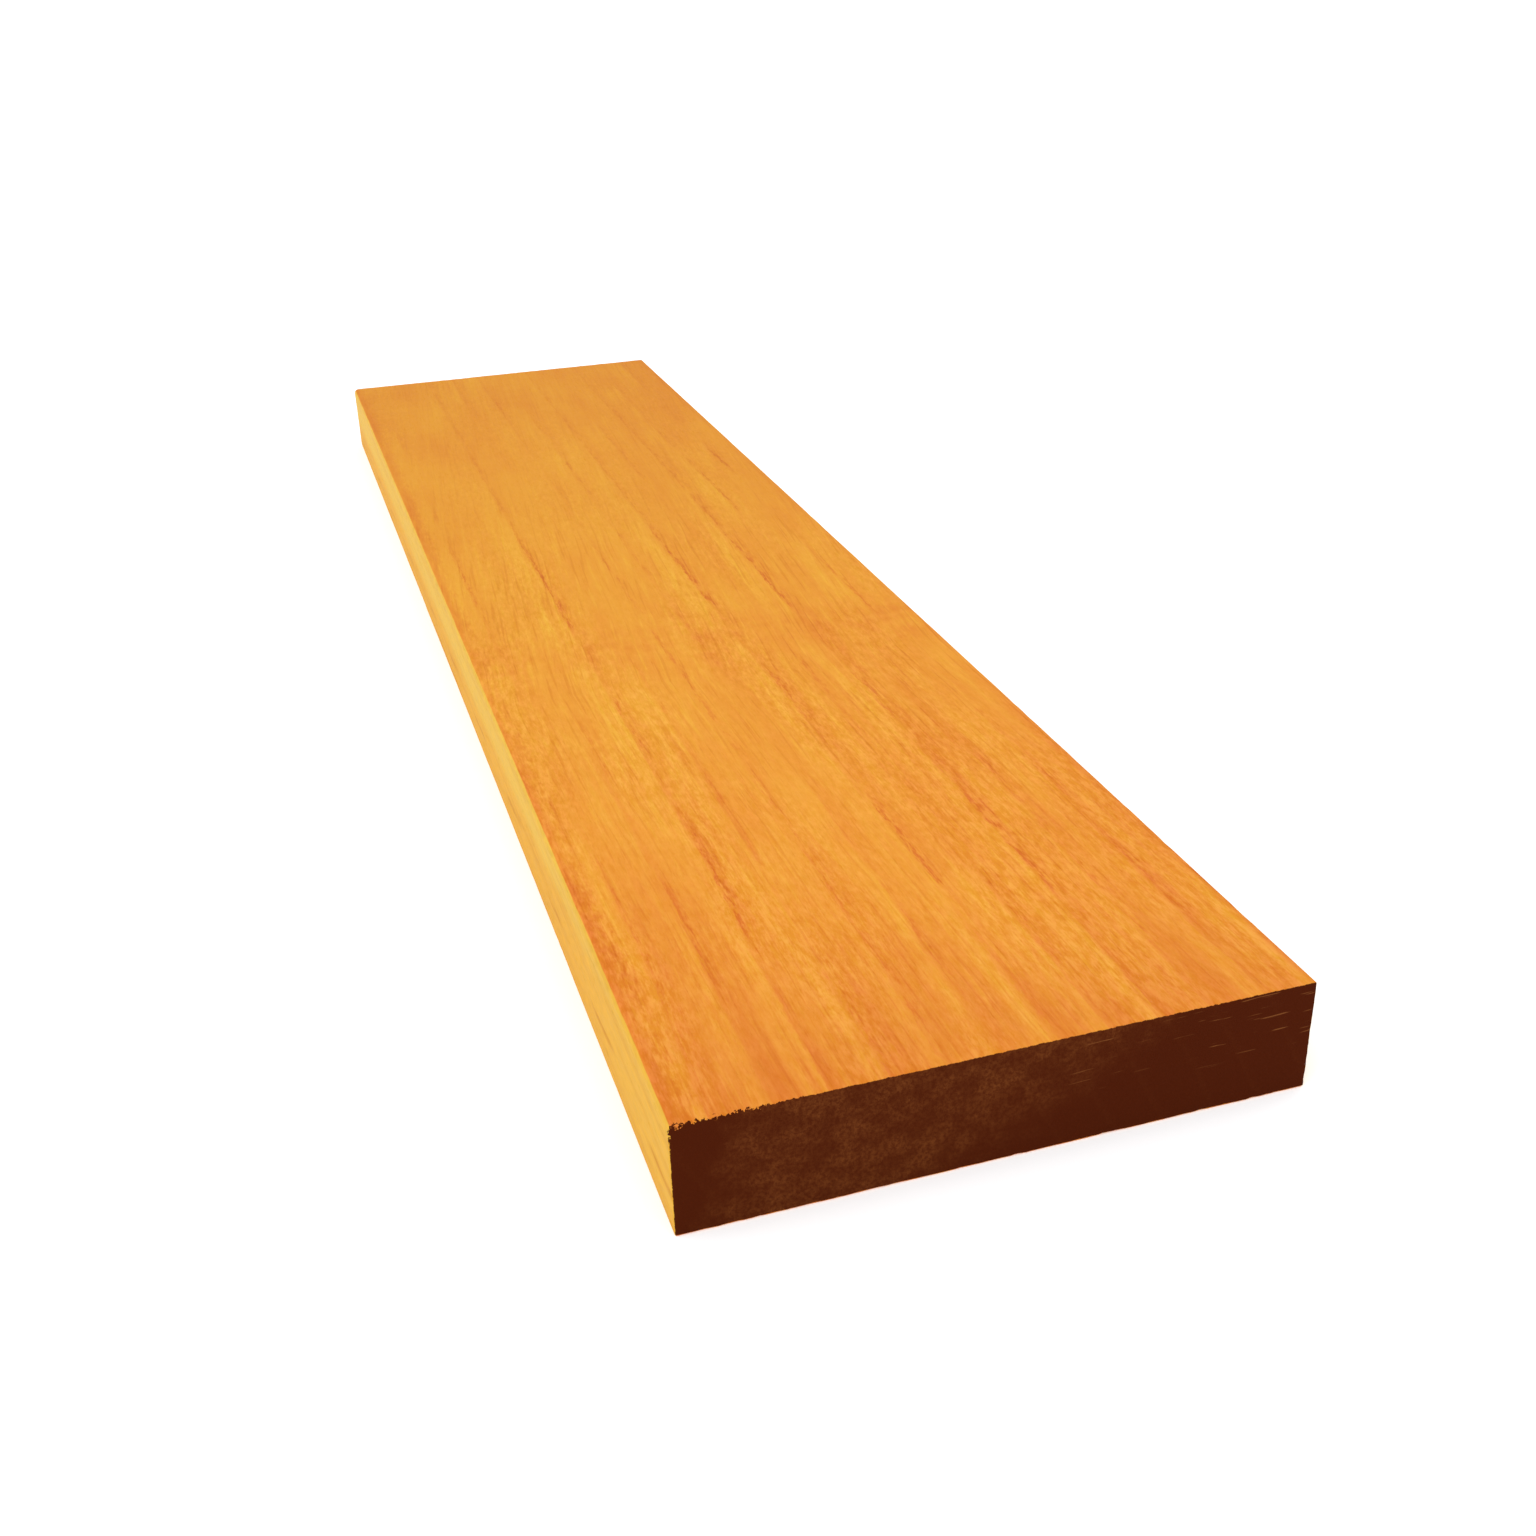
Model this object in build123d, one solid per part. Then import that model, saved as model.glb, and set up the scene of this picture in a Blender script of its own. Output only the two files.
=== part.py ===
from build123d import *
import os

# Planed hardwood board, one piece of solid stock, lying flat on its wide face.
# Millimetres, +Z up. The grain and the length run along X, the width along Y,
# the thickness along Z. The origin is the middle of the underside.

LENGTH = 600.0         # crosscut length, along the grain
WIDTH = 145.0          # planed width
THICKNESS = 28.0       # planed thickness
ROUNDED_ARRIS = 2.0    # the upper arris of the pale long edge, at -Y
ARRIS = 0.6            # the other three long arrises, only broken
END_EASE = 0.4         # all round each sawn end

with BuildPart() as stock:
    # Square stock, resting on Z = 0.
    Box(LENGTH, WIDTH, THICKNESS, align=(Align.CENTER, Align.CENTER, Align.MIN))

    # One long arris is rounded over; the other three are only broken.
    arrises = stock.edges().filter_by(Axis.X)
    rounded = arrises.sort_by(Axis.Y)[:2].sort_by(Axis.Z)[-1]
    broken = [edge for edge in arrises if not edge.is_same(rounded)]
    fillet(rounded, radius=ROUNDED_ARRIS)
    fillet(broken, radius=ARRIS)

    # The saw leaves each end nearly sharp all round.
    for side in (0, -1):
        sawn = stock.faces().sort_by(Axis.X)[side]
        fillet(sawn.edges(), radius=END_EASE)

board = stock.part
board.label = "board"

box = board.bounding_box()
print("board", round(box.size.X, 3), round(box.size.Y, 3), round(box.size.Z, 3),
      "lowest Z", round(box.min.Z, 4), "volume cm3", round(board.volume / 1000, 2))

os.makedirs("parts", exist_ok=True)
export_step(board, "parts/board.step")
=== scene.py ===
import math

import bpy
import numpy as np
from mathutils import Matrix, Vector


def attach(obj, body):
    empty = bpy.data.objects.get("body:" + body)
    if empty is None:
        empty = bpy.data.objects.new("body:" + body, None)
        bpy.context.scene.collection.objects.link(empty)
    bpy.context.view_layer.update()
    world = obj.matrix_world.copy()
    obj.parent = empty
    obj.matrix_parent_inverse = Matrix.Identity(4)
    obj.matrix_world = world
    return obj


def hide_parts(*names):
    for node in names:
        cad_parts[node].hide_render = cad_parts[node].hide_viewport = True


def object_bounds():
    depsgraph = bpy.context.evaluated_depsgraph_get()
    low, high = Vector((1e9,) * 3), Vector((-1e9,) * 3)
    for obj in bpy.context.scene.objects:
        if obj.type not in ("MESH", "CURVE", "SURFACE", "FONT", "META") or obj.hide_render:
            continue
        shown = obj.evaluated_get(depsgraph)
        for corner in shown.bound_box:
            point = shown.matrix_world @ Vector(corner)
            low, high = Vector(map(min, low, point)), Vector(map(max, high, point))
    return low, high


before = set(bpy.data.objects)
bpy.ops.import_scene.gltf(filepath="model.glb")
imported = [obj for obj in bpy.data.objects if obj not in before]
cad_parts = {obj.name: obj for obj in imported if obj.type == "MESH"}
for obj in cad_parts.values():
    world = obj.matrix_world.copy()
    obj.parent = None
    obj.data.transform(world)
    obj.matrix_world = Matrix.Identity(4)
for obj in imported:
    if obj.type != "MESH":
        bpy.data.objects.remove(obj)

# ---------------------------------------------------------------------------
# The board, in millimetres: length along X with the grain, width along Y,
# thickness along Z, underside on Z = 0, middle of the underside at the origin.
# ---------------------------------------------------------------------------
cad_lo, cad_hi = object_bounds()
LENGTH, WIDTH, THICK = (round((cad_hi[i] - cad_lo[i]) * 1000, 3) for i in range(3))
HX, HY = LENGTH / 2, WIDTH / 2
ROUNDED = 2.0      # upper arris of the pale edge, at -Y
BROKEN = 0.6       # the other long arrises
END = 0.4          # round each sawn end
MM = 0.001

scene = bpy.context.scene
scene.view_settings.view_transform = "Standard"
scene.view_settings.look = "None"


# ---------------------------------------------------------------------------
# Smooth value noise on points, the same on every run.
# ---------------------------------------------------------------------------
def lattice(ix, iy, iz, seed):
    with np.errstate(over="ignore"):
        h = (ix.astype(np.uint32) * np.uint32(0x8DA6B343)
             ^ iy.astype(np.uint32) * np.uint32(0xD8163841)
             ^ iz.astype(np.uint32) * np.uint32(0xCB1AB31F)
             ^ np.uint32((seed * 0x9E3779B9) & 0xFFFFFFFF))
        h ^= h >> np.uint32(13)
        h *= np.uint32(0x5BD1E995)
        h ^= h >> np.uint32(15)
        h *= np.uint32(0x27D4EB2D)
        h ^= h >> np.uint32(14)
    return h / 4294967295.0


def noise(x, y, z, seed=1, octaves=1, gain=0.5):
    """From -1 to 1, about 0 on average."""
    total, weight, top = 0.0, 1.0, 0.0
    for o in range(octaves):
        k = 2.03 ** o
        X, Y, Z = x * k + 37.1 * o, y * k + 11.7 * o, z * k + 5.3 * o
        ix, iy, iz = (np.floor(v).astype(np.int64) for v in (X, Y, Z))
        fx, fy, fz = X - ix, Y - iy, Z - iz
        fx, fy, fz = (f * f * f * (f * (f * 6 - 15) + 10) for f in (fx, fy, fz))
        v = 0.0
        for dx in (0, 1):
            for dy in (0, 1):
                for dz in (0, 1):
                    w = ((fx if dx else 1 - fx) * (fy if dy else 1 - fy)
                         * (fz if dz else 1 - fz))
                    v = v + w * lattice(ix + dx, iy + dy, iz + dz, seed + o)
        total = total + weight * (v * 2 - 1)
        top += weight
        weight *= gain
    return total / top


def step(lo, hi, v):
    t = np.clip((v - lo) / (hi - lo), 0, 1)
    return t * t * (3 - 2 * t)


# ---------------------------------------------------------------------------
# The board's surface: one closed skin of four-sided faces. Grid lines run the
# whole way round, closer together where they turn over an arris.
# ---------------------------------------------------------------------------
def lines(half_lo, half_hi, pitch, near_lo, near_hi):
    """Grid lines from half_lo to half_hi: the given distances in from each
    side, then an even pitch between."""
    a = [half_lo + d for d in near_lo]
    b = [half_hi - d for d in reversed(near_hi)]
    n = max(1, int(round((b[0] - a[-1]) / pitch)))
    middle = [a[-1] + (b[0] - a[-1]) * i / n for i in range(1, n)]
    return np.array(a + middle + b)


GX = lines(-HX, HX, 3.05, (0, 0.15, 0.4, 1.2), (0, 0.15, 0.4, 1.2))
GY = lines(-HY, HY, 0.9, (0, 0.15, 0.4, 0.75, 1.2, 2.0), (0, 0.2, 0.6, 1.2))
GZ = lines(0.0, THICK, 0.9, (0, 0.2, 0.6, 1.2), (0, 0.15, 0.4, 0.75, 1.2, 2.0))


def section(y, z):
    """A point of the square section, moved into the eased one, with the
    outward direction there."""
    ny = np.zeros_like(y)
    nz = np.zeros_like(z)
    side_lo, side_hi = y + HY, HY - y
    bot, top = z, THICK - z
    d = np.minimum(np.minimum(side_lo, side_hi), np.minimum(bot, top))
    near = [(side_lo, -1, 0), (side_hi, 1, 0), (bot, 0, -1), (top, 0, 1)]
    for dist, sy, sz in near:
        here = dist <= d + 1e-9
        ny = np.where(here, sy, ny)
        nz = np.where(here, sz, nz)
    oy, oz = y.copy(), z.copy()
    for sy, sz, r in ((-1, 1, ROUNDED), (1, 1, BROKEN), (-1, -1, BROKEN), (1, -1, BROKEN)):
        a = side_lo if sy < 0 else side_hi
        b = bot if sz < 0 else top
        inside = (a < r) & (b < r)
        u, v = (r - a) / r, (r - b) / r
        m = np.maximum(u, v)
        length = np.maximum(np.hypot(u, v), 1e-12)
        cy = (-HY + r) if sy < 0 else (HY - r)
        cz = r if sz < 0 else THICK - r
        oy = np.where(inside, cy + sy * r * m * u / length, oy)
        oz = np.where(inside, cz + sz * r * m * v / length, oz)
        ny = np.where(inside, sy * u / length, ny)
        nz = np.where(inside, sz * v / length, nz)
    return oy, oz, ny, nz, d


def skin():
    nx, ny, nz = len(GX), len(GY), len(GZ)
    index = -np.ones((nx, ny, nz), np.int64)
    i, j, k = np.meshgrid(range(nx), range(ny), range(nz), indexing="ij")
    outer = ((i == 0) | (i == nx - 1) | (j == 0) | (j == ny - 1)
             | (k == 0) | (k == nz - 1))
    index[outer] = np.arange(outer.sum())
    gi, gj, gk = i[outer], j[outer], k[outer]
    x, y, z = GX[gi], GY[gj], GZ[gk]
    oy, oz, ny_, nz_, d = section(y, z)
    on_side = (gj == 0) | (gj == ny - 1) | (gk == 0) | (gk == nz - 1)
    d = np.where(on_side, 0.0, d)
    sign = np.sign(x)
    s = HX - np.abs(x)
    # near a sawn end the long faces turn in, and the end turns back to meet them
    turn = np.where(s < END, np.arctan2(END - s, END), 0.0)
    long_x = np.where(s < END, sign * (HX - END + END * np.sin(turn)), x)
    long_in = END - END * np.cos(turn)
    phi = np.where(d < END, np.arctan2(END - d, END), 0.0)
    cap_x = sign * (HX - END + END * np.cos(phi))
    cap_in = np.where(d < END, END - END * np.sin(phi) - d, 0.0)
    px = np.where(on_side, long_x, cap_x)
    inward = np.where(on_side, long_in, cap_in)
    py, pz = oy - ny_ * inward, oz - nz_ * inward
    co = np.stack([px, py, pz], 1)
    quads = []

    def face(a, b, c, e, flip):
        q = np.stack([a, b, c, e], -1).reshape(-1, 4)
        quads.append(q[:, ::-1] if flip else q)

    for end, flip in ((0, False), (nx - 1, True)):
        s_ = index[end]
        face(s_[:-1, :-1], s_[:-1, 1:], s_[1:, 1:], s_[1:, :-1], flip)
    for side, flip in ((0, True), (ny - 1, False)):
        s_ = index[:, side]
        face(s_[:-1, :-1], s_[:-1, 1:], s_[1:, 1:], s_[1:, :-1], flip)
    for side, flip in ((0, False), (nz - 1, True)):
        s_ = index[:, :, side]
        face(s_[:-1, :-1], s_[:-1, 1:], s_[1:, 1:], s_[1:, :-1], flip)
    return co, np.concatenate(quads)


def relief(p, n):
    """How far each point sinks below the true surface, in mm: raised grain
    along the long faces, saw marks and torn fibre on the ends, and arrises
    that are a little worn."""
    x, y, z = p.T
    end = step(0.55, 0.85, np.abs(n[:, 0]))
    drift = 2.5 * noise(x / 170, y / 60, z / 60, 3) + 0.7 * noise(x / 45, y / 25, z / 25, 4)
    ridge = noise(x / 75, (y + drift) / 2.3, (z + drift) / 2.3, 11)
    ridge2 = noise(x / 38, (y + drift) / 1.1, (z + drift) / 1.1, 12)
    swell = noise(x / 32, y / 30, z / 30, 13)
    long_face = 0.045 * (1 - ridge) + 0.018 * (1 - ridge2) + 0.02 * (1 - swell)
    # circular saw marks: arcs about a centre below the board
    r = np.hypot(y - 24 * np.sign(x), z + 210)
    saw = np.sin(2 * math.pi * r / 2.7 + 1.6 * noise(y / 30, z / 30, x * 0 + 2, 21))
    torn = noise(x * 0 + np.sign(x) * 7, y / 1.7, z / 1.7, 22, 2)
    end_face = 0.035 * (1 - saw) + 0.05 * (1 - torn)
    # the arrises: small dents, mostly round the near end
    top, bottom = THICK - z, z
    side = HY - np.abs(y)
    over_end = HX - np.abs(x)
    worn = noise(x / 9, y / 7, z / 7, 31)
    nick = step(0.35, 0.9, noise(x / 3.1, y / 2.6, z / 2.6, 32))
    edge = np.sort(np.stack([top, bottom, side, over_end]), 0)[1]
    near_edge = 1 - step(0.0, 1.1, edge)
    arris = near_edge * (0.05 * (1 + worn) + 0.16 * nick * step(-40, 300, x))
    return (1 - end) * long_face + end * end_face + arris


def build_board():
    co, quads = skin()
    mesh = bpy.data.meshes.new("board_stock")
    mesh.from_pydata((co * MM).tolist(), [], quads.tolist())
    mesh.update()
    normals = np.zeros(len(co) * 3, np.float32)
    mesh.vertex_normals.foreach_get("vector", normals)
    n = normals.reshape(-1, 3).astype(float)
    co = co - n * relief(co, n)[:, None]
    mesh.vertices.foreach_set("co", (co * MM).astype(np.float32).ravel())
    mesh.update()
    obj = bpy.data.objects.new("board_stock", mesh)
    scene.collection.objects.link(obj)
    for poly in mesh.polygons:
        poly.use_smooth = True
        poly.material_index = 1 if abs(poly.normal.x) > 0.8 else 0
    return obj


# ---------------------------------------------------------------------------
# Node graph helpers
# ---------------------------------------------------------------------------
class Graph:
    def __init__(self, tree):
        self.tree = tree

    def node(self, kind, **settings):
        n = self.tree.nodes.new(kind)
        for key, value in settings.items():
            setattr(n, key, value)
        return n

    def put(self, socket, value):
        if isinstance(value, bpy.types.NodeSocket):
            self.tree.links.new(value, socket)
        elif value is not None:
            socket.default_value = value

    def m(self, op, a, b=None, c=None, clamp=False):
        n = self.node("ShaderNodeMath", operation=op, use_clamp=clamp)
        for s, v in zip(n.inputs, (a, b, c)):
            self.put(s, v)
        return n.outputs[0]

    def add(self, a, b):
        return self.m("ADD", a, b)

    def sub(self, a, b):
        return self.m("SUBTRACT", a, b)

    def mul(self, a, b):
        return self.m("MULTIPLY", a, b)

    def least(self, a, b):
        return self.m("MINIMUM", a, b)

    def most(self, a, b):
        return self.m("MAXIMUM", a, b)

    def mad(self, a, b, c):
        return self.m("MULTIPLY_ADD", a, b, c)

    def clamp(self, a):
        return self.m("ADD", a, 0.0, clamp=True)

    def step(self, value, lo, hi, to_lo=0.0, to_hi=1.0):
        n = self.node("ShaderNodeMapRange", interpolation_type="SMOOTHSTEP")
        for key, v in (("Value", value), ("From Min", lo), ("From Max", hi),
                       ("To Min", to_lo), ("To Max", to_hi)):
            self.put(n.inputs[key], v)
        return n.outputs[0]

    def xyz(self, x, y, z):
        n = self.node("ShaderNodeCombineXYZ")
        for s, v in zip(n.inputs, (x, y, z)):
            self.put(s, v)
        return n.outputs[0]

    def split(self, v):
        n = self.node("ShaderNodeSeparateXYZ")
        self.put(n.inputs[0], v)
        return n.outputs

    def noise(self, vector, detail=0.0, rough=0.5, colour=False):
        n = self.node("ShaderNodeTexNoise", noise_dimensions="3D")
        self.put(n.inputs["Vector"], vector)
        n.inputs["Scale"].default_value = 1.0
        n.inputs["Detail"].default_value = detail
        n.inputs["Roughness"].default_value = rough
        return n.outputs["Color" if colour else "Fac"]

    def grain(self, x, y, z, fx, fy, fz, shift=0.0, detail=0.0, rough=0.5):
        """Noise drawn out along X: fx, fy and fz are in cycles per mm."""
        v = self.xyz(self.mad(x, fx, shift), self.mul(y, fy), self.mul(z, fz))
        return self.noise(v, detail, rough)

    def mix(self, fac, a, b, blend="MIX"):
        n = self.node("ShaderNodeMix", data_type="RGBA", blend_type=blend)
        self.put(n.inputs[0], fac)
        self.put(n.inputs[6], (*a, 1.0) if isinstance(a, tuple) else a)
        self.put(n.inputs[7], (*b, 1.0) if isinstance(b, tuple) else b)
        return n.outputs[2]

    def ramp(self, x, stops):
        """A smooth curve through the given values at the given x, in mm."""
        n = self.node("ShaderNodeValToRGB")
        n.color_ramp.interpolation = "EASE"
        marks = n.color_ramp.elements
        while len(marks) < len(stops):
            marks.new(0.5)
        for mark, (at, value) in zip(marks, stops):
            mark.position = (at + HX) / LENGTH
            mark.color = (value, value, value, 1.0)
        self.put(n.inputs[0], self.mad(x, 1 / LENGTH, 0.5))
        return n.outputs[0]

    def scale(self, fac, stops):
        """A scale of colours."""
        n = self.node("ShaderNodeValToRGB")
        marks = n.color_ramp.elements
        while len(marks) < len(stops):
            marks.new(0.5)
        for mark, (at, colour) in zip(marks, stops):
            mark.position = at
            mark.color = (*colour, 1.0)
        self.put(n.inputs[0], fac)
        return n.outputs[0]

    def gain(self, colour, k):
        """colour times k."""
        n = self.node("ShaderNodeVectorMath", operation="SCALE")
        self.put(n.inputs[0], colour)
        self.put(n.inputs[3], k)
        return n.outputs[0]


# ---------------------------------------------------------------------------
# The wood. Colour comes from the place in the solid, so that the grain runs
# on from face to face. The wide faces take their colour from one scale, from
# the reddest late wood to the yellowest early wood.
# ---------------------------------------------------------------------------
SCALE = (
    (0.00, (0.590, 0.145, 0.0195)),
    (0.25, (0.655, 0.198, 0.0258)),
    (0.50, (0.706, 0.260, 0.0317)),
    (0.75, (0.738, 0.314, 0.0372)),
    (1.00, (0.758, 0.366, 0.0432)),
)
EDGE_PALE = (0.682, 0.417, 0.055)
EDGE_WARM = (0.680, 0.349, 0.033)
EDGE_DASH = (0.532, 0.214, 0.0085)
# the end colours are darker than the end grain alone: they also carry painted shade of an end face turned from the
# light
END_DARK_AND_SHADE = (0.0600, 0.0090, 0.0017)
END_LIGHT = (0.126, 0.0326, 0.0072)
END_PALE = (0.205, 0.0700, 0.0190)

# Along the board, from the far end to the near one: how bold the three
# plainest rings are, how bright the early wood beside them is, and how the
# whole face lightens and darkens.
BOLD = ((-300, 0.18), (-190, 0.25), (-120, 0.34), (-62, 0.36), (-40, 0.54), (5, 1.02),
        (38, 1.06), (50, 0.10), (70, 0.14), (93, 0.12), (105, 0.75), (127, 0.75),
        (142, 0.22), (182, 0.30), (196, 0.90), (231, 0.95), (246, 0.30), (300, 0.25))
EARLY = ((-300, 0.12), (-190, 0.18), (-120, 0.32), (-60, 0.42), (-28, 0.78), (48, 0.70),
         (62, 0.28), (92, 0.62), (128, 0.92), (160, 0.66), (200, 0.42), (235, 0.60), (300, 0.65))
TONE = ((-300, 0.40), (-200, 0.43), (-120, 0.52), (-20, 0.585), (42, 0.585), (60, 0.535), (78, 0.555),
        (105, 0.56), (150, 0.53), (230, 0.465), (275, 0.40), (300, 0.305))

MARGIN = ((-300, 0.06), (-200, 0.09), (-150, 0.14), (-60, 0.17), (25, 0.18), (45, 0.05), (95, 0.06), (120, 0.19),
          (185, 0.16), (205, 0.28), (232, 0.26), (246, 0.15), (262, 0.05), (284, 0.09), (300, 0.06))
TINT = ((-300, 0.0), (-100, 0.22), (0, 0.42), (100, 0.66), (200, 0.88), (300, 1.0))
FLECKS = ((-300, 0.26), (-100, 0.30), (0, 0.44), (80, 0.62), (200, 0.84), (300, 0.88))


def wood(name, shine, end_grain):
    mat = bpy.data.materials.new(name)
    mat.use_nodes = True
    tree = mat.node_tree
    tree.nodes.clear()
    g = Graph(tree)
    coord = g.node("ShaderNodeTexCoord").outputs["Object"]
    scaled = g.node("ShaderNodeVectorMath", operation="SCALE")
    g.put(scaled.inputs[0], coord)
    scaled.inputs[3].default_value = 1000.0
    x, y, z = g.split(scaled.outputs[0])

    # the fibres wander a little from the line of the board
    slow = g.split(g.noise(g.xyz(g.mul(x, 0.0045), g.mul(y, 0.010), g.mul(z, 0.012)), 1.0, 0.4, True))
    quick = g.split(g.noise(g.xyz(g.mul(x, 0.028), g.mul(y, 0.07), g.mul(z, 0.07)), 1.0, 0.5, True))
    wy = g.add(g.mad(g.sub(slow[0], 0.5), 3.2, y), g.mul(g.sub(quick[0], 0.5), 1.3))
    wz = g.add(g.mad(g.sub(slow[1], 0.5), 3.2, z), g.mul(g.sub(quick[1], 0.5), 1.3))

    # the figure is plainer and crisper towards the near end
    near = g.step(x, -300.0, 290.0)
    crisp = g.ramp(x, ((-300, 0.40), (-160, 0.37), (-60, 0.38), (20, 0.48), (70, 0.80), (140, 0.92), (220, 0.97), (300, 0.78)))

    # the fine figure leans a few degrees off the line of the board, down to
    # about a third of its length from the near end, and hardly at all from there
    lean = g.sub(g.mul(g.least(x, 95.0), 0.085), g.mul(g.most(g.sub(x, 95.0), 0.0), 0.015))
    ly = g.add(wy, lean)
    lively = g.ramp(x, ((-300, 0.34), (-130, 0.40), (-70, 0.60), (-10, 1.00), (120, 1.00), (220, 0.80), (300, 0.80)))

    fine = g.ramp(x, ((-300, 0.85), (-60, 0.76), (60, 0.82), (200, 1.00), (300, 0.95)))

    # fine fibre, pores, streaks and soft clouds
    fibre = g.sub(g.grain(x, wy, wz, 0.160, 1.9, 1.9, 9.0, 2.0, 0.6), 0.5)
    feather = g.sub(g.grain(x, ly, wz, 0.280, 0.86, 0.86, 33.0, 2.0, 0.6), 0.5)
    streak = g.sub(g.grain(x, ly, wz, 0.0150, 0.29, 0.22, 3.0, 2.0, 0.5), 0.5)
    thread = g.step(g.grain(x, ly, wz, 0.036, 0.74, 0.74, 83.0, 2.0, 0.55), 0.54, 0.70)
    vein = g.step(g.grain(x, ly, wz, 0.026, 0.92, 0.92, 96.0, 1.0, 0.5), 0.58, 0.70)
    dash = g.step(g.grain(x, ly, wz, 0.085, 1.05, 1.05, 47.0, 1.0, 0.5), 0.60, 0.74)
    pore = g.step(g.grain(x, wy, wz, 0.26, 2.3, 2.3, 15.0, 1.0, 0.5), 0.62, 0.76)
    cloud = g.sub(g.grain(x, y, z, 0.016, 0.045, 0.05, 23.0, 2.0, 0.5), 0.5)
    ripple = g.sub(g.grain(x, y, z, 0.16, 0.06, 0.06, 31.0, 1.0, 0.5), 0.5)
    clump = g.step(g.grain(x, wy, wz, 0.0095, 0.048, 0.048, 71.0, 1.0, 0.5), 0.36, 0.64, 0.50, 1.40)
    patchy = g.split(g.noise(g.xyz(g.mad(x, 0.15, 29.0), g.mul(ly, 0.42), g.mul(wz, 0.42)), 3.0, 0.85, True))
    hue, fleck_tone = g.sub(patchy[0], 0.5), g.sub(patchy[1], 0.5)

    # growth rings, 12 mm apart where they come out on the wide face. Each ends
    # in a narrow dark line, and the next one starts with a broad bright band.
    from_y, from_z = g.add(wy, 900.0), g.add(wz, 450.0)
    radius = g.m("SQRT", g.add(g.mul(from_y, from_y), g.mul(from_z, from_z)))
    ring = g.mul(g.sub(radius, 1028.8), 1 / 10.8)
    uneven = g.sub(g.noise(g.xyz(g.mul(ring, 0.61), g.mul(x, 0.0022), 2.0), 1.0), 0.5)
    ring = g.add(ring, g.add(g.mul(uneven, 0.30), g.add(g.mul(fibre, 0.17), g.mul(feather, 0.20))))
    below = g.m("FLOOR", ring)
    above = g.add(below, 1.0)
    phase = g.sub(ring, below)

    def plain(index):
        """1 on the three boldest rings, else 0."""
        hits = [g.m("COMPARE", index, at, 0.1) for at in (0.0, 2.0, -4.0)]
        return g.most(hits[0], g.most(hits[1], hits[2]))

    def own(index):
        """an amount that differs from ring to ring"""
        return g.sub(g.noise(g.xyz(g.mul(index, 3.7), 0.5, 8.5)), 0.5)

    own_below, own_above = own(below), own(above)

    def faint(index, shift):
        """how plainly any ring shows along the board"""
        return g.step(g.noise(g.xyz(g.mul(x, 0.014), g.mul(index, 7.31), shift), 1.0), 0.42, 0.70)

    bold_here = plain(below)
    late = g.mul(bold_here, g.ramp(g.mad(own_below, 16.0, x), BOLD))
    tip = g.mad(own_below, 75.0, x)
    tips = g.mul(g.step(tip, 214.0, 238.0), g.step(tip, 292.0, 262.0))
    fading = g.ramp(x, ((-280, 0.16), (-50, 0.66), (130, 0.66), (175, 0.42), (300, 0.40)))
    weak = g.mul(g.sub(1.0, bold_here), g.mul(faint(below, 3.5), fading))
    # one more of the weak rings is plain over the near half
    half = g.mul(g.m("COMPARE", below, -2.0, 0.1), g.mul(g.step(x, -60.0, -5.0), g.step(x, 262.0, 225.0, 0.0, 0.50)))
    weak = g.most(weak, half)
    late = g.most(late, g.mul(g.sub(1.0, bold_here), g.mul(tips, 0.50)))
    line = g.add(g.mul(g.step(phase, 0.17, 0.04), 0.62), g.mul(g.step(phase, 0.44, 0.06), 0.38))
    late = g.most(g.mul(late, line), g.mul(weak, g.step(phase, 0.17, 0.04)))
    late = g.mul(late, g.step(phase, 0.0, 0.045))
    clot = g.grain(x, wy, wz, 0.105, 0.50, 0.50, 63.0, 3.0, 0.68)
    late = g.mul(late, g.step(clot, 0.40, 0.60, 0.12, 1.15))
    bold_next = plain(above)
    early = g.mul(bold_next, g.ramp(g.mad(own_above, 16.0, x), EARLY))
    early = g.most(early, g.mul(g.sub(1.0, bold_next), g.mad(faint(above, 3.5), 0.42, g.mul(near, 0.16))))
    early = g.mul(early, g.mul(g.step(phase, 0.16, 0.64), g.step(x, 150.0, 285.0, 1.0, 0.72)))
    flame = g.grain(x, ly, wz, 0.022, 0.52, 0.52, 52.0, 2.0, 0.55)
    early = g.mul(early, g.step(flame, 0.36, 0.62, 0.40, 1.45))
    glint = g.mad(own_above, 60.0, x)
    glint = g.mul(g.step(glint, 226.0, 250.0), g.step(phase, 0.60, 0.84))
    glint = g.mul(glint, g.step(clot, 0.62, 0.40, 0.35, 1.0))
    early, glint = g.mul(early, g.step(phase, 1.0, 0.965)), g.mul(glint, g.step(phase, 1.0, 0.92))

    # one number from 0 to 1 along the scale of colours
    shade = g.ramp(x, TONE)
    shade = g.add(shade, g.add(g.mul(early, 0.24), g.mul(glint, 0.18)))
    shade = g.sub(shade, g.mul(late, 0.50))
    shade = g.add(shade, g.mul(streak, g.mul(crisp, 0.50)))
    shade = g.add(shade, g.mul(g.mul(feather, clump), g.mul(crisp, 0.33)))
    shade = g.add(shade, g.mul(g.mul(fibre, fine), g.mul(clump, 0.13)))
    shade = g.add(shade, g.mul(lively, g.mad(thread, 0.15, g.mad(vein, -0.10, -0.02))))
    shade = g.sub(shade, g.mul(g.mul(dash, crisp), 0.06))
    olive = g.mul(late, g.step(x, 20.0, -80.0, 0.0, 0.9))
    brown = g.add(g.add(g.mul(fine, g.add(g.mul(dash, g.mul(crisp, 0.45)), g.mul(pore, 0.36))), g.mul(g.mul(vein, lively), 0.62)), olive)
    shade = g.add(shade, g.mad(cloud, 0.36, g.mul(y, g.step(x, 190.0, 270.0, -0.0006, 0.0003))))
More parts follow.
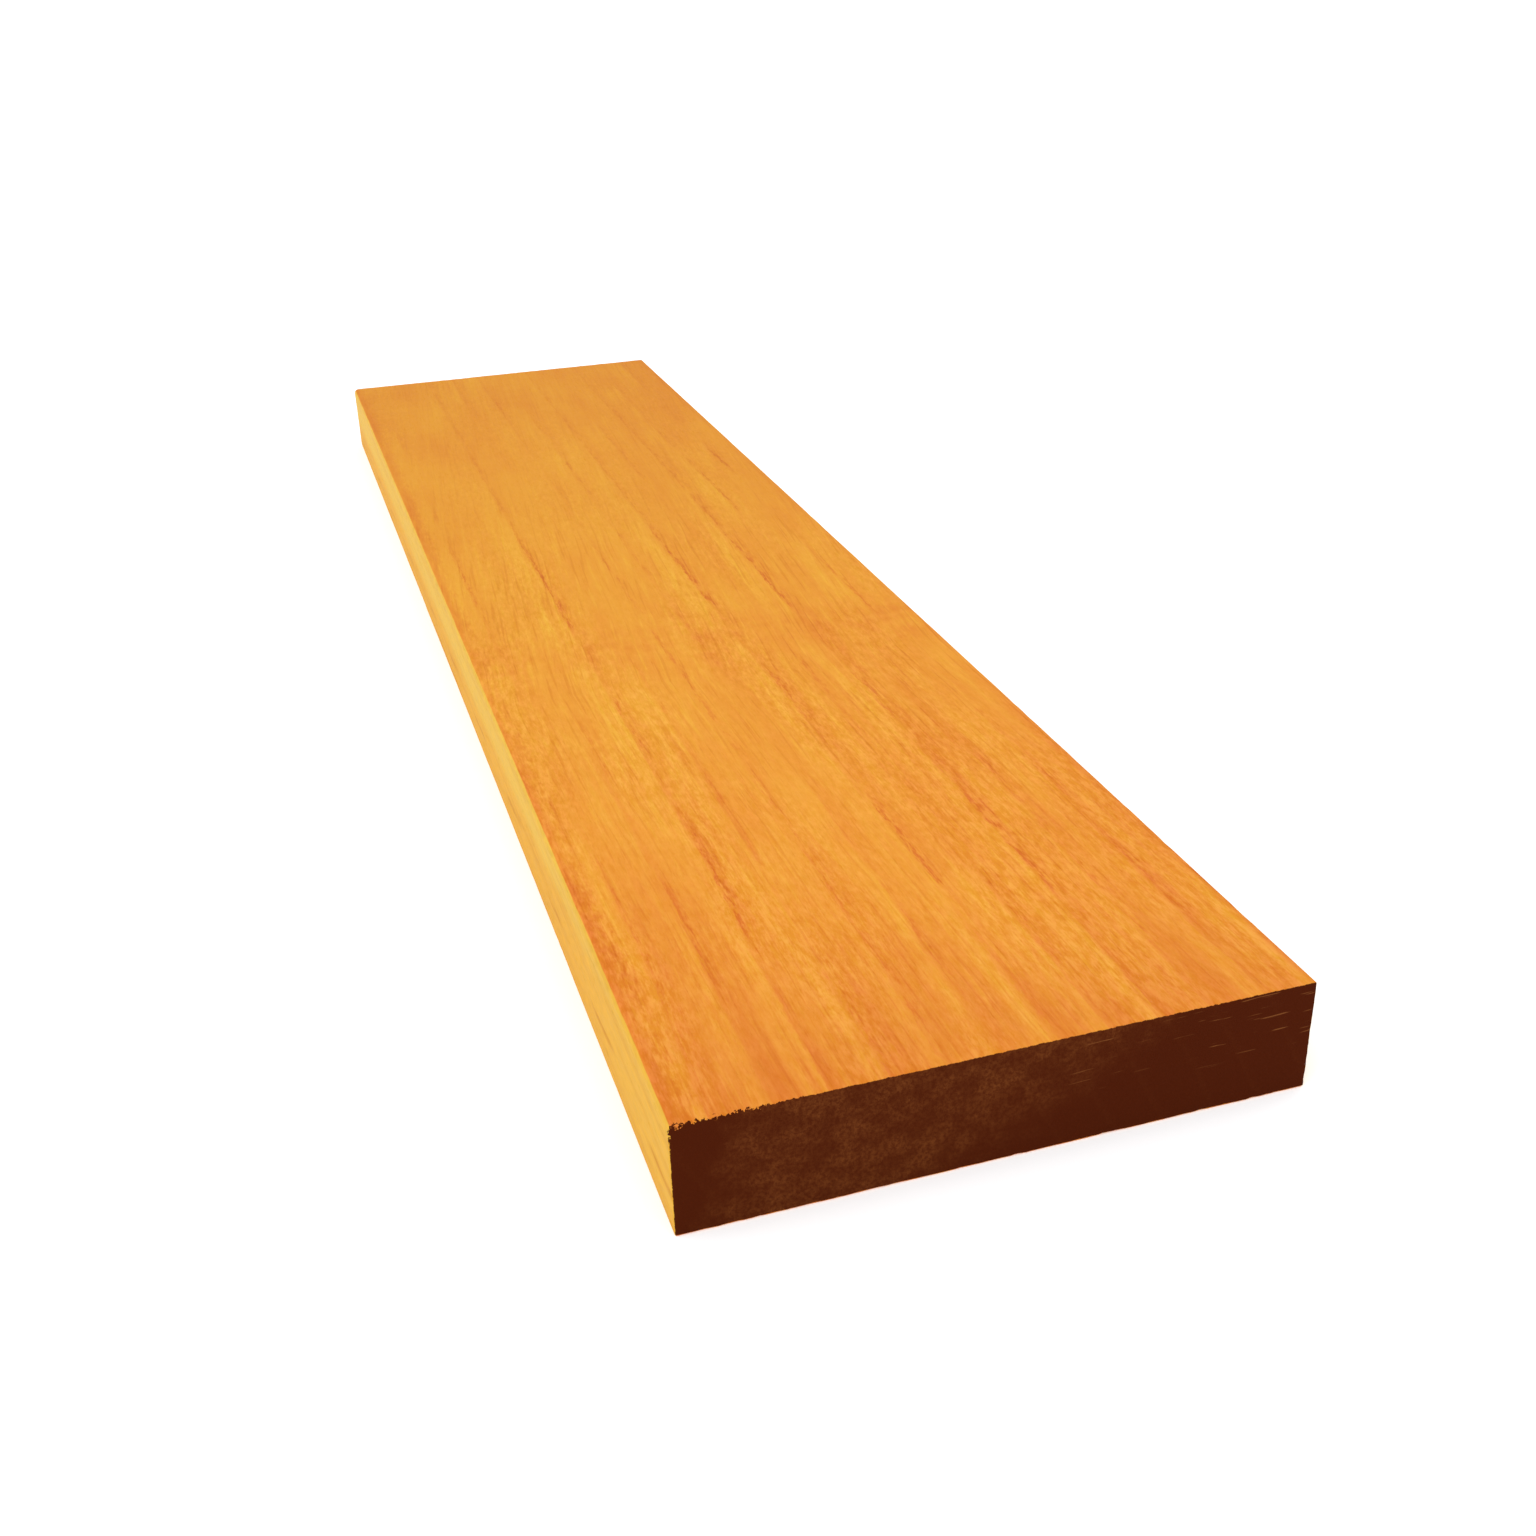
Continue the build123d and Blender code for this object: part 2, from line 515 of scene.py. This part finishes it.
    # a band of cross grain, mottled and a little redder
    swing = g.mad(g.sub(slow[2], 0.5), 60.0, x)
    cross = g.mul(g.step(swing, 30.0, 62.0), g.step(swing, 112.0, 66.0))
    mottle = g.noise(g.xyz(g.mul(x, 0.050), g.mul(wy, 0.070), g.mul(wz, 0.070)), 3.0, 0.62)
    shade = g.sub(shade, g.mul(cross, g.step(mottle, 0.42, 0.68, -0.01, 0.12)))
    shade = g.add(shade, g.mul(ripple, g.mad(cross, 0.16, 0.10)))

    # which face a point belongs to, split along the middle of each arris
    flat = g.least(z, g.sub(THICK, z))
    side = g.sub(HY, g.m("ABSOLUTE", y))
    shade = g.add(shade, g.step(side, HY - 45.0, HY - 10.0, 0.0, 0.03))
    broad = g.mul(g.mul(g.step(x, -180.0, 30.0), g.step(x, 150.0, 95.0)), g.mul(g.step(y, -8.0, 10.0), g.step(y, 46.0, 28.0)))
    shade = g.sub(shade, g.mul(broad, 0.075))
    over = g.sub(HX, g.m("ABSOLUTE", x))
    # a darker line of painted shade where the wide face begins to turn over, and a
    # darker margin a few millimetres wide along the pale edge
    # lip: painted shade along the turn of the arris, broken up by noise
    lip = g.mul(g.step(side, 3.4, 1.9), g.step(side, 0.3, 1.3))
    lip = g.mul(lip, g.step(g.grain(x, y, z, 0.013, 0.0, 0.0, 5.0, 2.0), 0.30, 0.62, 0.25, 1.0))
    margin = g.mul(g.step(g.add(side, g.mul(feather, 6.0)), 6.0, 3.2), g.m("LESS_THAN", y, 0.0))
    margin = g.mul(margin, g.mul(g.ramp(x, MARGIN), g.step(clot, 0.34, 0.60, 0.65, 1.25)))
    shade = g.clamp(g.sub(shade, g.mad(lip, 0.08, margin)))
    top_colour = g.scale(shade, SCALE)
    top_colour = g.mix(g.clamp(brown), top_colour, (0.922, 0.88, 0.71), "MULTIPLY")
    hue = g.clamp(g.mad(hue, g.mad(near, 0.9, 0.1), 0.5))
    top_colour = g.mix(1.0, top_colour, g.mix(hue, (0.968, 1.008, 1.02), (1.030, 0.992, 0.98)), "MULTIPLY")
    fleck_tone = g.add(fleck_tone, g.add(g.mul(feather, 0.40), g.mul(fibre, 0.30)))
    fleck_tone = g.clamp(g.mad(fleck_tone, g.mul(g.mul(clump, 3.6), g.ramp(x, FLECKS)), 0.5))
    top_colour = g.mix(1.0, top_colour, g.mix(fleck_tone, (0.945, 0.918, 0.62), (1.055, 1.082, 1.42)), "MULTIPLY")
    # the far half is a shade less red
    top_colour = g.mix(1.0, top_colour, g.mix(g.ramp(x, TINT), (0.893, 0.98, 0.615), (1.0, 1.0, 1.0)), "MULTIPLY")
    top_colour = g.mix(g.step(x, 235.0, 292.0), top_colour, (0.975, 0.968, 1.0), "MULTIPLY")

    # long edges: a pale band above, a warmer one below with a row of short dashes
    side_up = g.m("GREATER_THAN", y, 0.0)
    ez = g.add(g.mul(side_up, g.mad(z, -2.0, THICK)), z)
    ex = g.add(x, g.mul(side_up, 29.0))
    wob = g.sub(g.grain(x, y, z, 0.011, 0.02, 0.02, 61.0, 1.0), 0.5)
    boundary = g.add(g.step(ex, 40.0, 300.0, 13.5, 24.0), g.mul(wob, 7.0))
    band = g.step(g.sub(ez, boundary), -3.4, 3.4)
    # the two run together towards the near end
    merge = g.step(ex, 190.0, 285.0, 0.0, 0.8)
    band = g.add(g.mul(band, g.sub(1.0, merge)), g.mul(merge, 0.42))
    band = g.mul(band, g.mad(side_up, -0.45, 1.0))
    edge = g.mix(band, EDGE_WARM, EDGE_PALE)
    place = g.mad(ex, 1 / 57.3, 5.33)
    mark = g.split(g.noise(g.xyz(g.mul(g.m("FLOOR", place), 5.3), g.mul(side_up, 9.0), 4.5), 0.0, 0.5, True))
    row = g.sub(g.m("FRACT", place), g.mad(mark[0], 0.30, 0.35))
    dash_z = g.add(g.add(g.mad(ex, 0.0082, 6.6), g.mul(mark[1], 2.0)), g.mul(row, 5.0))
    off_z = g.m("ABSOLUTE", g.sub(g.add(ez, g.mul(fibre, 1.6)), dash_z))
    fleck = g.mul(g.step(off_z, g.mad(mark[2], 2.4, 0.7), 0.1), g.step(g.m("ABSOLUTE", row), 0.28, 0.08))
    fleck = g.mul(fleck, g.step(g.grain(x, wy, wz, 0.05, 0.8, 0.9, 88.0, 3.0, 0.6), 0.36, 0.58))
    edge_flame = g.step(g.grain(x, wy, wz, 0.014, 0.3, 0.36, 57.0, 2.0, 0.55), 0.46, 0.74)
    edge_ring = g.mul(g.add(g.step(phase, 0.30, 0.05), g.mul(late, 0.4)), g.step(clot, 0.36, 0.62, 0.3, 1.0))
    edge_streak = g.sub(g.grain(x, wy, wz, 0.020, 1.05, 1.05, 12.0, 3.0, 0.6), 0.5)
    edge_shade = g.mul(g.mul(edge_flame, 0.34), g.sub(1.0, g.mul(band, 0.55)))
    edge_shade = g.add(edge_shade, g.add(g.mul(edge_ring, 0.18), g.mul(edge_streak, 0.44)))
    edge_shade = g.m("ADD", g.mul(fleck, 0.80), g.add(edge_shade, 0.015), clamp=True)
    edge = g.mix(edge_shade, edge, EDGE_DASH)
    tone = g.add(1.0, g.add(g.mul(fibre, 0.24), g.mul(feather, 0.18)))
    edge = g.gain(edge, g.sub(tone, g.mul(pore, 0.09)))

    ragged = g.sub(g.grain(x, y, z, 0.12, 0.7, 0.7, 19.0, 2.0), 0.5)
    is_edge = g.step(g.add(g.sub(flat, side), g.mul(ragged, 0.5)), -0.25, 0.25)
    face_colour = g.mix(is_edge, top_colour, edge)

    # ends: dark, closed grain, mottled lighter over one half, with thin pale
    # scratches along the width and faint rings. The dark is partly the end grain's own colour and partly painted shade
    # of an end turned from the light.
    ey = g.add(y, g.mul(g.m("LESS_THAN", x, 0.0), g.mul(y, -2.0)))
    end = END_DARK_AND_SHADE
    if end_grain:
        drift = g.sub(g.noise(g.xyz(g.mul(x, 0.02), g.mul(y, 0.06), g.mul(z, 0.10)), 3.0, 0.6), 0.5)
        slant = g.add(g.mad(z, -1.9, ey), g.mul(drift, 36.0))
        patch = g.mul(g.step(slant, 2.0, -40.0), g.step(g.add(g.mad(drift, 22.0, ey), g.mul(z, -0.25)), -70.0, -58.0))
        speck = g.noise(g.xyz(g.mul(x, 0.3), g.mul(y, 1.05), g.mul(z, 1.05)), 3.0, 0.75)
        speck = g.step(speck, 0.36, 0.64)
        blotch = g.step(g.noise(g.xyz(g.mul(x, 0.02), g.mul(y, 0.13), g.mul(z, 0.17)), 3.0, 0.6), 0.38, 0.66, 0.27, 1.0)
        cell = g.sub(g.noise(g.xyz(g.mul(x, 0.3), g.mul(wy, 1.3), g.mul(wz, 1.1)), 2.0, 0.7), 0.5)
        end_fac = g.mul(g.mul(patch, blotch), g.mad(speck, 0.80, 0.20))
        end_fac = g.m("ADD", end_fac, g.mad(cell, 0.16, g.mul(g.step(phase, 0.2, 0.0), 0.05)), clamp=True)
        end = g.mix(end_fac, END_DARK_AND_SHADE, END_LIGHT)
        scratch = g.noise(g.xyz(g.mul(x, 0.05), g.mul(y, 0.075), g.mul(g.mad(y, -0.03, z), 1.55)), 2.0, 0.6)
        scratch = g.mul(g.step(scratch, 0.63, 0.71), g.mul(g.step(ey, 5.0, 25.0), g.step(z, 9.0, 17.0)))
        end = g.mix(g.mul(scratch, 0.75), end, END_PALE)
    fray = g.sub(g.noise(g.xyz(g.mul(x, 0.8), g.mul(y, 0.9), g.mul(z, 0.8)), 3.0, 0.75), 0.5)
    loose = g.mul(g.step(ey, -38.0, -66.0), g.step(z, 20.0, 27.0))
    split = g.add(g.sub(g.least(flat, side), over), g.mul(fray, g.mad(loose, 6.0, 0.9)))
    # along the foot of each end the face colour runs a fraction of a millimetre up: a painted highlight of floor light
    # on the bottom arris
    split = g.sub(split, g.step(z, 0.55, 0.2, 0.0, 0.4))
    is_end = g.step(split, -0.12, 0.12)
    colour = g.mix(is_end, face_colour, end)

    # gloss and small relief
    rough = g.add(g.mad(fibre, 0.25, 0.54), g.mul(pore, 0.16))
    rough = g.add(rough, g.mul(is_end, 0.30))
    height = g.mul(cell, 1.4) if end_grain else g.add(g.mul(fibre, 0.6), g.mul(pore, -0.55))

    bump = g.node("ShaderNodeBump")
    bump.inputs["Strength"].default_value = 0.55
    bump.inputs["Distance"].default_value = 0.00012
    g.put(bump.inputs["Height"], height)

    bsdf = g.node("ShaderNodeBsdfPrincipled")
    g.put(bsdf.inputs["Base Color"], colour)
    g.put(bsdf.inputs["Roughness"], rough)
    g.put(bsdf.inputs["Normal"], bump.outputs[0])
    bsdf.inputs["IOR"].default_value = 1.5
    bsdf.inputs["Specular IOR Level"].default_value = shine
    out = g.node("ShaderNodeOutputMaterial")
    g.put(out.inputs["Surface"], bsdf.outputs[0])
    return mat


board = build_board()
board.data.materials.append(wood("hardwood_faces", 0.03, False))
board.data.materials.append(wood("hardwood_ends", 0.02, True))
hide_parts("board")
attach(board, "root")

# ---------------------------------------------------------------------------
# Floor, light and camera
# ---------------------------------------------------------------------------
floor_mesh = bpy.data.meshes.new("floor")
floor_mesh.from_pydata([(-30, -30, 0), (30, -30, 0), (30, 30, 0), (-30, 30, 0)], [], [(0, 1, 2, 3)])
floor = bpy.data.objects.new("floor", floor_mesh)
scene.collection.objects.link(floor)
floor_mat = bpy.data.materials.new("pale_floor")
floor_mat.use_nodes = True
fb = floor_mat.node_tree.nodes["Principled BSDF"]
fb.inputs["Base Color"].default_value = (0.97, 0.97, 0.975, 1)
fb.inputs["Roughness"].default_value = 0.9
fb.inputs["Specular IOR Level"].default_value = 0.0
fb.inputs["Emission Color"].default_value = (1.0, 1.0, 1.0, 1)
fb.inputs["Emission Strength"].default_value = 0.15
floor_mesh.materials.append(floor_mat)

world = bpy.data.worlds.new("studio")
scene.world = world
world.use_nodes = True
world.node_tree.nodes["Background"].inputs["Color"].default_value = (1.0, 1.0, 1.0, 1)
world.node_tree.nodes["Background"].inputs["Strength"].default_value = 1.0

key_data = bpy.data.lights.new("key", "SUN")
key_data.energy = 0.93
key_data.angle = math.radians(50)
key = bpy.data.objects.new("key", key_data)
scene.collection.objects.link(key)
# high, from the near end and the pale edge's side
light_from = np.array([0.30, -0.50, 0.95])
light_from = light_from / np.linalg.norm(light_from)
zc = light_from
xc = np.cross([0, 0, 1.0], zc); xc /= np.linalg.norm(xc)
yc = np.cross(zc, xc)
key.matrix_world = Matrix([[xc[i], yc[i], zc[i], 0] for i in range(3)] + [[0, 0, 0, 1]])

cam_data = bpy.data.cameras.new("camera")
cam_data.sensor_width = 36.0
cam_data.lens = 40.621
cam = bpy.data.objects.new("camera", cam_data)
scene.collection.objects.link(cam)
right = (0.304713, 0.952038, -0.027809)
up = (-0.424418, 0.161864, 0.890881)
back = (0.852654, -0.259660, 0.453384)
place = (0.56251, -0.12977, 0.24145)
cam.matrix_world = Matrix([[right[i], up[i], back[i], place[i]] for i in range(3)] + [[0, 0, 0, 1]])
cam_data.clip_start, cam_data.clip_end = 0.01, 100.0
scene.camera = cam

bpy.context.view_layer.update()
